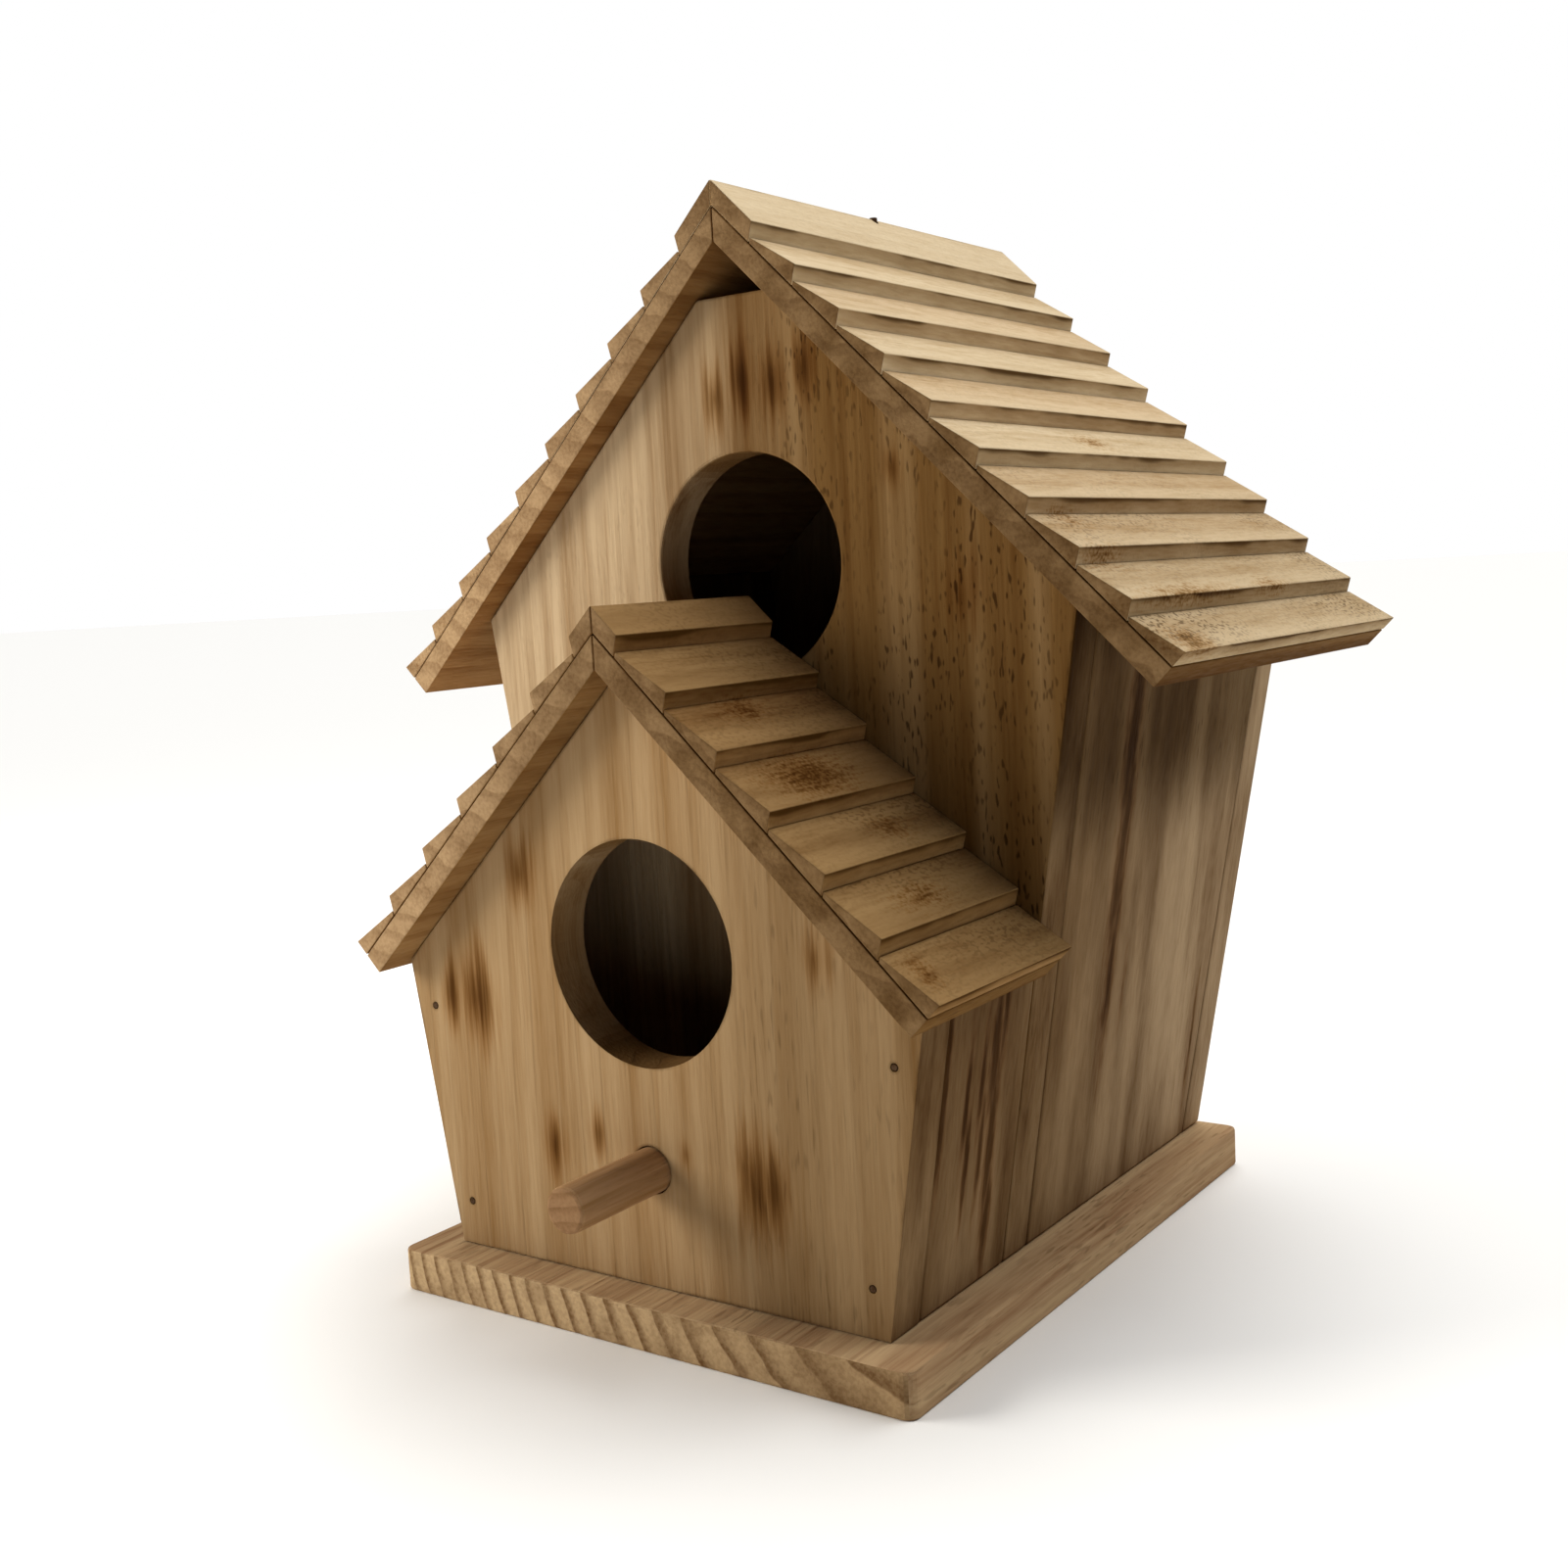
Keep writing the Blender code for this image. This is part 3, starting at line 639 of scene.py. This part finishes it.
class BIRDHOUSE_OT_walls(bpy.types.Operator):
    """Finish the side walls and the back: torched softwood with upright grain"""

    bl_idname = "birdhouse.walls"
    bl_label = "Walls and Back"

    def execute(self, context):
        settings = context.scene.birdhouse_wood
        streaks = (
            Mark(-64.2, 61, 1.0, 17, 1.5), Mark(-54.2, 56, 0.8, 11, 1.4), Mark(-52, 41, 0.9, 10, 1.4),
            Mark(-48.2, 58, 0.9, 10, 1.4), Mark(-46, 42, 1.0, 11, 1.4), Mark(-43.5, 62, 1.5, 13, 1.5),
            Mark(-41.6, 42, 1.7, 15, 1.5), Mark(-40, 26, 1.5, 11, 1.3), Mark(-40.2, 72, 1.2, 13, 1.2),
            Mark(8.2, 126, 3.2, 24, 1.2), Mark(9.8, 98, 3.0, 26, 1.2), Mark(11.6, 70, 2.2, 24, 1.0),
            Mark(70, 36, 1.4, 18, 0.7), Mark(20, 62, 1.2, 12, 0.7),
        )
        # Fir, sawn and torched: wide soft bands with long brown streaks, darker than the front, with
        # painted shade under the eaves
        wall = partial(
            Wood, grain=UPRIGHT, rings=Rings((20, -300), 220, 9, 400, 14), pale=settings.side_pale,
            dark=settings.side_dark, ring_share=0.12, band_share=0.48, band_width=13.0,
            fibre_share=0.13, pores=Pores(0.8, 7.0, 0.64, 0.4), mark_tints=("blush", "smoke_and_shade"), fray=0.2)
        sides = wall(
            "torched_fir_walls", marks=streaks, mark_axis=ACROSS_Y, brownings=WALL_BROWNINGS)
        dress(pieces_with("_wall"), make_wood(sides))
        # The back darkens toward the top
        back = wall("torched_fir_back", brownings=(Browning(UP_Z, 90, 250, 0.6, "smoke_and_shade"),))
        dress(["back_panel"], make_wood(back))
        return {"FINISHED"}


class BIRDHOUSE_OT_roofs(bpy.types.Operator):
    """Finish the backing boards and slats of both roofs: sawn softwood, grain along the ridge"""

    bl_idname = "birdhouse.roofs"
    bl_label = "Roofs"

    def execute(self, context):
        settings = context.scene.birdhouse_wood
        roof = partial(
            Wood, grain=FRONT_TO_BACK, rings=Rings((-40, 300), 200, 7, 400, 7.1), fibre_share=0.2,
            fibre_length=6.0, mark_axis=ACROSS_Y, scorch=0.35,
            # Sawn ends darken toward the right, partly torched wood and partly painted shade away from the
            # lamp at the left
            end_browning=Browning(ACROSS_X, -80, 35, 0.85, "smoke_and_shade"))
        upper_patches = (
            Mark(-20, 174, 9, 3, 0.3), Mark(-24, 165, 12, 3, 0.4), Mark(-5, 156, 30, 3, 0.4),
            Mark(45, 156, 16, 3, 0.3), Mark(-25, 147, 9, 3.5, 0.6), Mark(30, 192, 14, 3, 0.2),
        )
        lower_patches = (
            Mark(-61, 123, 15, 4, 0.7), Mark(-62, 137, 12, 4, 0.3), Mark(-50, 111, 10, 3, 0.2),
            Mark(-60, 99, 14, 3, 0.3), Mark(-78, 88, 5, 4, 0.3),
        )
        # Fir, rough sawn: pale treads with fine dark pores, paler toward the ridge with painted light, and
        # painted shade under each lip
        upper = roof(
            "sawn_fir_upper_slats", pale=settings.roof_pale, dark=settings.roof_dark, ring_share=0.12,
            band_share=0.2, pores=Pores(0.8, 1.1, 0.52, 0.6), spread=300,
            slope=stepped_slope("upper", 0.1), marks=upper_patches,
            brownings=(Browning(UP_Z, 205, 145, 0.42),))
        dress(pieces_with("upper_roof", "slat"), make_wood(upper))
        # Fir, rough sawn and torched: the porch is browner than the roof above it, partly its wood and
        # partly painted shade under the upper house
        lower = roof(
            "torched_fir_lower_slats", pale=settings.porch_pale, dark=settings.porch_dark,
            ring_share=0.2, band_share=0.4, pores=Pores(0.8, 1.2, 0.5, 0.4), spread=300,
            slope=stepped_slope("lower", 0.6), marks=lower_patches)
        dress(pieces_with("lower_roof", "slat"), make_wood(lower))
        # Fir, sawn: the boards below the slats show only at their edges and from below
        boards = roof(
            "sawn_fir_roof_boards", pale=settings.board_pale, dark=settings.board_dark, ring_share=0.3,
            band_share=0.3, pores=Pores(0.8, 4.0, 0.6, 0.3), spread=200,
            # Painted light at the far left and painted shade toward the right, most under the right eave
            brownings=(
                Browning(ACROSS_X, -70, 50, 1.0, "smoke_and_shade"), Browning(ACROSS_X, -108, -70, 0.42, "smoke_and_shade")))
        dress(pieces_with("_roof_", "board"), make_wood(boards))
        return {"FINISHED"}


class BIRDHOUSE_OT_perch(bpy.types.Operator):
    """Finish the perch: a plain turned dowel"""

    bl_idname = "birdhouse.perch"
    bl_label = "Perch"

    def execute(self, context):
        settings = context.scene.birdhouse_wood
        # Birch, turned: close even grain with few pores, a little redder than the boards
        dowel = Wood(
            "turned_birch_dowel", FRONT_TO_BACK, Rings((12, 40), 20, 3, 60, 3.1, wander=3),
            settings.perch, settings.front_dark, ring_share=0.2, band_share=0.2,
            pores=Pores(0.5, 3.0, 0.6, 0.15), end_pale=settings.perch_end)
        dress(["perch_dowel"], make_wood(dowel))
        return {"FINISHED"}


class BIRDHOUSE_OT_steel(bpy.types.Operator):
    """Finish the nails and the ridge pin: rusted steel wire"""

    bl_idname = "birdhouse.steel"
    bl_label = "Nails and Pin"

    def execute(self, context):
        settings = context.scene.birdhouse_steel
        # Steel wire, drawn and rusted: dull brown, so that a nail head is hardly more than a dot
        material, shader = new_material("rusted_steel_wire")
        tree = material.node_tree
        node = partial(add_node, tree)
        place = node("TexCoord", output="Object")
        patches = node(
            "TexNoise", inputs={"Vector": place, "Scale": 1 / settings.rust_patch, "Detail": 3.0})
        rusty = node("MapRange", patches, 0.45, 0.65, 0.0, 1.0, **SOFT)
        colour = node("Mix", rusty, inputs={UNDER: settings.bare, OVER: settings.rust}, **COVER)
        rough = node("MapRange", patches, 0.4, 0.7, 0.6, 0.85)
        tree.links.new(colour, shader.inputs["Base Color"])
        tree.links.new(rough, shader.inputs["Roughness"])
        shader.inputs["Specular IOR Level"].default_value = 0.05
        dress([*pieces_with("nail"), "ridge_pin"], material)
        return {"FINISHED"}


def put_in_scene(name, data):
    """Add an object with this mesh, lamp or camera to the scene."""
    thing = bpy.data.objects.new(name, data)
    bpy.context.scene.collection.objects.link(thing)
    return thing


def lay_floor(settings):
    """Lay a wide round floor of matt paper."""
    bm = bmesh.new()
    bmesh.ops.create_circle(bm, cap_ends=True, segments=96, radius=FLOOR_RADIUS)
    mesh = bpy.data.meshes.new("studio_floor")
    bm.to_mesh(mesh)
    bm.free()
    # Paper, matt: it takes a soft shadow and gives hardly any reflection
    paper, shader = new_material("matt_paper_floor")
    shader.inputs["Base Color"].default_value = settings.floor
    shader.inputs["Roughness"].default_value = 0.9
    mesh.materials.append(paper)
    floor = put_in_scene("studio_floor", mesh)


def hang_lights(settings):
    """Hang a soft square lamp at the left, unseen itself, and a broad light above and behind."""
    lamp = bpy.data.lights.new("key_light", "AREA")
    lamp.shape = "SQUARE"
    lamp.size = settings.key_size
    lamp.energy = settings.key_power
    lamp.color = settings.key_colour
    key = put_in_scene("key_light", lamp)
    key.location = settings.key_place
    key.rotation_euler = (KEY_AIM - key.location).to_track_quat("-Z", "Y").to_euler()
    key.visible_camera = False

    lamp = bpy.data.lights.new("sky_light", "SUN")
    lamp.energy = settings.sky_power
    lamp.angle = settings.sky_spread
    sky = put_in_scene("sky_light", lamp)
    sky.rotation_euler = SKY_DIRECTION.to_track_quat("-Z", "Y").to_euler()


def paint_room(settings):
    """Paint a white room that throws no light of its own, so that the house keeps its shade."""
    world = bpy.data.worlds.new("studio_room")
    world.use_nodes = True
    background = world.node_tree.nodes["Background"]
    background.inputs["Color"].default_value = settings.room
    background.inputs["Strength"].default_value = settings.room_light
    world.cycles_visibility.diffuse = False
    world.cycles_visibility.glossy = False
    bpy.context.scene.world = world


def stand_camera(settings):
    """Stand the camera where the photograph was taken."""
    lens = bpy.data.cameras.new("photo_camera")
    lens.lens = settings.lens
    lens.sensor_width = SENSOR_WIDTH
    lens.clip_start = NEAREST_SEEN
    camera = put_in_scene("photo_camera", lens)
    camera.location = settings.eye
    camera.rotation_euler = settings.turn
    bpy.context.scene.camera = camera


class BIRDHOUSE_OT_stage(bpy.types.Operator):
    """Set up the pale floor, the soft lights, the white room and the camera"""

    bl_idname = "birdhouse.stage"
    bl_label = "Studio"

    def execute(self, context):
        settings = context.scene.birdhouse_stage
        lay_floor(settings)
        hang_lights(settings)
        paint_room(settings)
        stand_camera(settings)
        context.scene.view_settings.view_transform = "Standard"
        return {"FINISHED"}


SETTINGS = {
    "birdhouse_wood": WoodSettings, "birdhouse_steel": SteelSettings, "birdhouse_stage": StageSettings,
}
OPERATORS = (
    BIRDHOUSE_OT_base, BIRDHOUSE_OT_front_panels, BIRDHOUSE_OT_walls, BIRDHOUSE_OT_roofs,
    BIRDHOUSE_OT_perch, BIRDHOUSE_OT_steel, BIRDHOUSE_OT_stage,
)


class BIRDHOUSE_PT_panel(bpy.types.Panel):
    """List the settings and the steps that finish the birdhouse"""

    bl_idname = "BIRDHOUSE_PT_panel"
    bl_label = "Wooden Birdhouse"
    bl_space_type = "VIEW_3D"
    bl_region_type = "UI"
    bl_category = "Birdhouse"

    def draw(self, context):
        for group in SETTINGS:
            settings = getattr(context.scene, group)
            for name in settings.bl_rna.properties.keys():
                if name not in ("rna_type", "name"):
                    self.layout.prop(settings, name)
        for operator in OPERATORS:
            self.layout.operator(operator.bl_idname)


CLASSES = (*SETTINGS.values(), *OPERATORS, BIRDHOUSE_PT_panel)


def register():
    """Register the add-on's classes and settings."""
    for cls in CLASSES:
        bpy.utils.register_class(cls)
    for name, group in SETTINGS.items():
        setattr(bpy.types.Scene, name, PointerProperty(type=group))


def unregister():
    """Remove the add-on's classes and settings."""
    for name in SETTINGS:
        delattr(bpy.types.Scene, name)
    for cls in reversed(CLASSES):
        bpy.utils.unregister_class(cls)


def main():
    """Run every step."""
    register()
    bpy.ops.birdhouse.base()
    bpy.ops.birdhouse.front_panels()
    bpy.ops.birdhouse.walls()
    bpy.ops.birdhouse.roofs()
    bpy.ops.birdhouse.perch()
    bpy.ops.birdhouse.steel()
    bpy.ops.birdhouse.stage()


if __name__ == "__main__":
    main()
